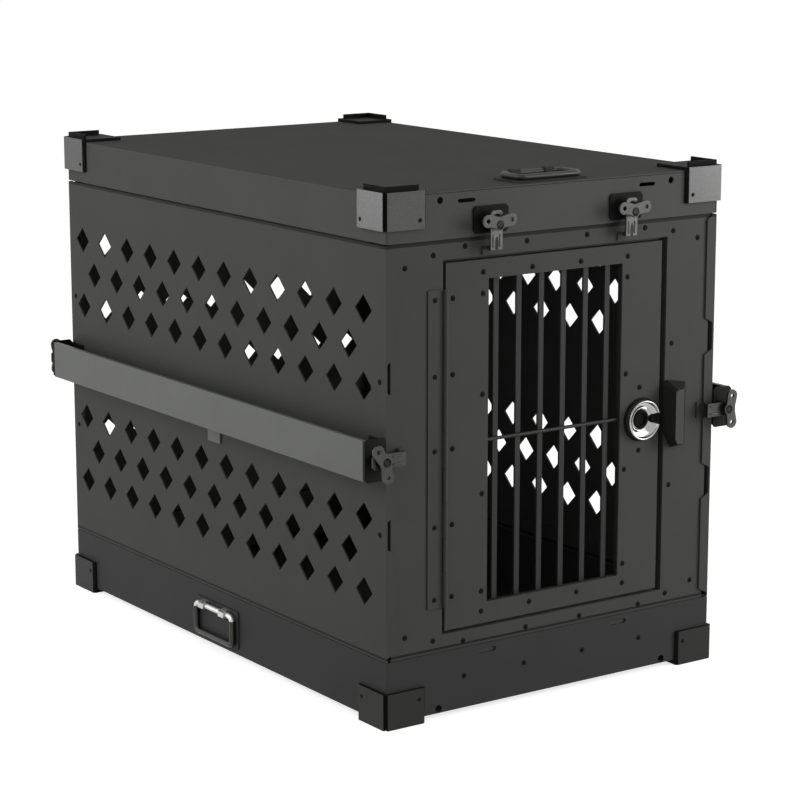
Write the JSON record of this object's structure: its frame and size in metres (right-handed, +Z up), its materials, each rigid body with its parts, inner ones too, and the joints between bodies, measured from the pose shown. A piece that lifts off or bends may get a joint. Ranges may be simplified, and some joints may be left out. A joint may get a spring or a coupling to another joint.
{
  "type": "folding dog crate",
  "caption": "Folding dog crate of dark powder-coated aluminium sheet: barred slam-lock door, diamond vents, side rails, lift-off lid with butterfly latches, corner caps and drop handles.",
  "frame": {"origin": "on the ground, under the middle of the crate", "axes": "+Z up, -Y out of the door end, +X to the right of someone who looks at the door"},
  "size_m": [0.5501, 0.7922, 0.6313],
  "materials": {
    "panel_coat": "dark grey powder coat",
    "lid_coat": "dark grey powder coat",
    "base_coat": "dark grey powder coat",
    "cap_coat": "grey powder coat",
    "rail_coat": "grey powder coat",
    "bracket_coat": "black powder coat",
    "grille_coat": "black powder coat",
    "latch_steel": "black zinc plate",
    "bail_steel": "zinc plate",
    "zinc_steel": "zinc plate",
    "black_plastic": "moulded",
    "chrome": "polished"
  },
  "bodies": {
    "base": {"base_tray": "base_coat", "base_cap_front_left": "cap_coat", "base_cap_front_right": "cap_coat", "base_cap_rear_left": "cap_coat", "base_cap_rear_right": "cap_coat", "left_wall": "panel_coat", "right_wall": "panel_coat", "left_rail": "rail_coat", "right_rail": "rail_coat", "rail_bracket_front_left": "bracket_coat", "rail_bracket_front_right": "bracket_coat", "rail_bracket_rear_left": "bracket_coat", "rail_bracket_rear_right": "bracket_coat", "left_handle_plate": "bracket_coat", "right_handle_plate": "bracket_coat"},
    "lid": {"lid_shell": "lid_coat", "lid_front_flange": "lid_coat", "lid_rear_flange": "lid_coat", "lid_cap_front_left": "cap_coat", "lid_cap_front_right": "cap_coat", "lid_cap_rear_left": "cap_coat", "lid_cap_rear_right": "cap_coat", "lid_handle_plate": "bracket_coat", "front_left_lid_latch_plate": "latch_steel", "front_right_lid_latch_plate": "latch_steel", "rear_left_lid_latch_plate": "latch_steel", "rear_right_lid_latch_plate": "latch_steel"},
    "front_end": {"front_wall": "panel_coat", "front_wall_top_channel": "panel_coat", "door_hinge_frame_leaf": "panel_coat", "door_hinge_pin": "zinc_steel", "strike_guard": "black_plastic"},
    "rear_end": {"rear_wall": "panel_coat", "rear_wall_top_channel": "panel_coat"},
    "door": {"door_skin": "panel_coat", "door_hinge_door_leaf": "panel_coat", "door_grille": "grille_coat", "lock_bezel": "chrome", "lock_housing": "black_plastic"},
    "pull": {"finger_pull": "black_plastic"},
    "bolt": {"latch_bolt": "zinc_steel"},
    "left_base_bail": {"left_bail": "bail_steel"},
    "right_base_bail": {"right_bail": "bail_steel"},
    "lid_top_bail": {"lid_bail": "bail_steel"},
    "front_left_lid_wing": {"front_left_lid_latch_wing": "latch_steel"},
    "front_right_lid_wing": {"front_right_lid_latch_wing": "latch_steel"},
    "rear_left_lid_wing": {"rear_left_lid_latch_wing": "latch_steel"},
    "rear_right_lid_wing": {"rear_right_lid_latch_wing": "latch_steel"},
    "front_left_lid_hook": {"front_left_lid_latch_hook": "latch_steel"},
    "front_right_lid_hook": {"front_right_lid_latch_hook": "latch_steel"},
    "rear_left_lid_hook": {"rear_left_lid_latch_hook": "latch_steel"},
    "rear_right_lid_hook": {"rear_right_lid_latch_hook": "latch_steel"},
    "front_left_corner_wing": {"front_left_corner_latch_wing": "latch_steel"},
    "front_right_corner_wing": {"front_right_corner_latch_wing": "latch_steel"},
    "rear_left_corner_wing": {"rear_left_corner_latch_wing": "latch_steel"},
    "rear_right_corner_wing": {"rear_right_corner_latch_wing": "latch_steel"},
    "front_left_corner_hook": {"front_left_corner_latch_hook": "latch_steel"},
    "front_right_corner_hook": {"front_right_corner_latch_hook": "latch_steel"},
    "rear_left_corner_hook": {"rear_left_corner_latch_hook": "latch_steel"},
    "rear_right_corner_hook": {"rear_right_corner_latch_hook": "latch_steel"}
  },
  "joints": [
    {"name": "lid_lift", "type": "slide", "parent": "base", "child": "lid", "axis": [0, 0, 1], "range_m": [0, 0.2]},
    {"name": "front_fold", "type": "hinge", "parent": "base", "child": "front_end", "pos_m": [0, -0.36865, 0.046], "axis": [-1, 0, 0], "range_deg": [0, 90]},
    {"name": "rear_fold", "type": "hinge", "parent": "base", "child": "rear_end", "pos_m": [0, 0.36865, 0.017], "axis": [1, 0, 0], "range_deg": [0, 90]},
    {"name": "door_swing", "type": "hinge", "parent": "front_end", "child": "door", "pos_m": [-0.1625, -0.37755, 0.321], "axis": [0, 0, 1], "range_deg": [-130, 0]},
    {"name": "finger_pull_draw", "type": "slide", "parent": "door", "child": "pull", "axis": [0, -1, 0], "range_m": [0, 0.005], "stiffness_N_per_m": 400},
    {"name": "bolt_retract", "type": "slide", "parent": "door", "child": "bolt", "axis": [-1, 0, 0], "range_m": [0, 0.009]},
    {"name": "left_bail_swing", "type": "hinge", "parent": "base", "child": "left_base_bail", "pos_m": [-0.2507, 0, 0.0555], "axis": [0, 1, 0], "range_deg": [0, 90]},
    {"name": "right_bail_swing", "type": "hinge", "parent": "base", "child": "right_base_bail", "pos_m": [0.2507, 0, 0.0555], "axis": [0, -1, 0], "range_deg": [0, 90]},
    {"name": "lid_bail_swing", "type": "hinge", "parent": "lid", "child": "lid_top_bail", "pos_m": [0, -0.32275, 0.6257], "axis": [-1, 0, 0], "range_deg": [0, 90]},
    {"name": "front_left_lid_latch_turn", "type": "hinge", "parent": "lid", "child": "front_left_lid_wing", "pos_m": [-0.1, -0.37675, 0.579], "axis": [0, -1, 0], "range_deg": [0, 180]},
    {"name": "front_right_lid_latch_turn", "type": "hinge", "parent": "lid", "child": "front_right_lid_wing", "pos_m": [0.1, -0.37675, 0.579], "axis": [0, -1, 0], "range_deg": [0, 180]},
    {"name": "rear_left_lid_latch_turn", "type": "hinge", "parent": "lid", "child": "rear_left_lid_wing", "pos_m": [-0.1, 0.37675, 0.579], "axis": [0, 1, 0], "range_deg": [0, 180]},
    {"name": "rear_right_lid_latch_turn", "type": "hinge", "parent": "lid", "child": "rear_right_lid_wing", "pos_m": [0.1, 0.37675, 0.579], "axis": [0, 1, 0], "range_deg": [0, 180]},
    {"name": "front_left_corner_latch_turn", "type": "hinge", "parent": "base", "child": "front_left_corner_wing", "pos_m": [-0.2564, -0.37675, 0.3222], "axis": [0, -1, 0], "range_deg": [-23, 157]},
    {"name": "front_right_corner_latch_turn", "type": "hinge", "parent": "base", "child": "front_right_corner_wing", "pos_m": [0.2564, -0.37675, 0.3222], "axis": [0, -1, 0], "range_deg": [0, 180]},
    {"name": "rear_left_corner_latch_turn", "type": "hinge", "parent": "base", "child": "rear_left_corner_wing", "pos_m": [-0.2564, 0.37675, 0.3222], "axis": [0, 1, 0], "range_deg": [0, 180]},
    {"name": "rear_right_corner_latch_turn", "type": "hinge", "parent": "base", "child": "rear_right_corner_wing", "pos_m": [0.2564, 0.37675, 0.3222], "axis": [0, 1, 0], "range_deg": [0, 180]},
    {"name": "front_left_lid_hook_slide", "type": "slide", "parent": "lid", "child": "front_left_lid_hook", "axis": [0, 0, -1], "range_m": [0, 0.008]},
    {"name": "front_right_lid_hook_slide", "type": "slide", "parent": "lid", "child": "front_right_lid_hook", "axis": [0, 0, -1], "range_m": [0, 0.008]},
    {"name": "rear_left_lid_hook_slide", "type": "slide", "parent": "lid", "child": "rear_left_lid_hook", "axis": [0, 0, -1], "range_m": [0, 0.008]},
    {"name": "rear_right_lid_hook_slide", "type": "slide", "parent": "lid", "child": "rear_right_lid_hook", "axis": [0, 0, -1], "range_m": [0, 0.008]},
    {"name": "front_left_corner_hook_slide", "type": "slide", "parent": "base", "child": "front_left_corner_hook", "axis": [1, 0, 0], "range_m": [-0.00102, 0.00698]},
    {"name": "front_right_corner_hook_slide", "type": "slide", "parent": "base", "child": "front_right_corner_hook", "axis": [-1, 0, 0], "range_m": [0, 0.008]},
    {"name": "rear_left_corner_hook_slide", "type": "slide", "parent": "base", "child": "rear_left_corner_hook", "axis": [1, 0, 0], "range_m": [0, 0.008]},
    {"name": "rear_right_corner_hook_slide", "type": "slide", "parent": "base", "child": "rear_right_corner_hook", "axis": [-1, 0, 0], "range_m": [0, 0.008]}
  ],
  "couplings": [
    {"joint": "bolt_retract", "follows": "finger_pull_draw", "ratio": 1.8},
    {"joint": "front_left_lid_latch_turn", "follows": "front_left_lid_hook_slide", "rad_per_m": 392.69},
    {"joint": "front_right_lid_latch_turn", "follows": "front_right_lid_hook_slide", "rad_per_m": 392.69},
    {"joint": "rear_left_lid_latch_turn", "follows": "rear_left_lid_hook_slide", "rad_per_m": 392.69},
    {"joint": "rear_right_lid_latch_turn", "follows": "rear_right_lid_hook_slide", "rad_per_m": 392.69},
    {"joint": "front_left_corner_latch_turn", "follows": "front_left_corner_hook_slide", "rad_per_m": 392.69},
    {"joint": "front_right_corner_latch_turn", "follows": "front_right_corner_hook_slide", "rad_per_m": 392.69},
    {"joint": "rear_left_corner_latch_turn", "follows": "rear_left_corner_hook_slide", "rad_per_m": 392.69},
    {"joint": "rear_right_corner_latch_turn", "follows": "rear_right_corner_hook_slide", "rad_per_m": 392.69}
  ]
}
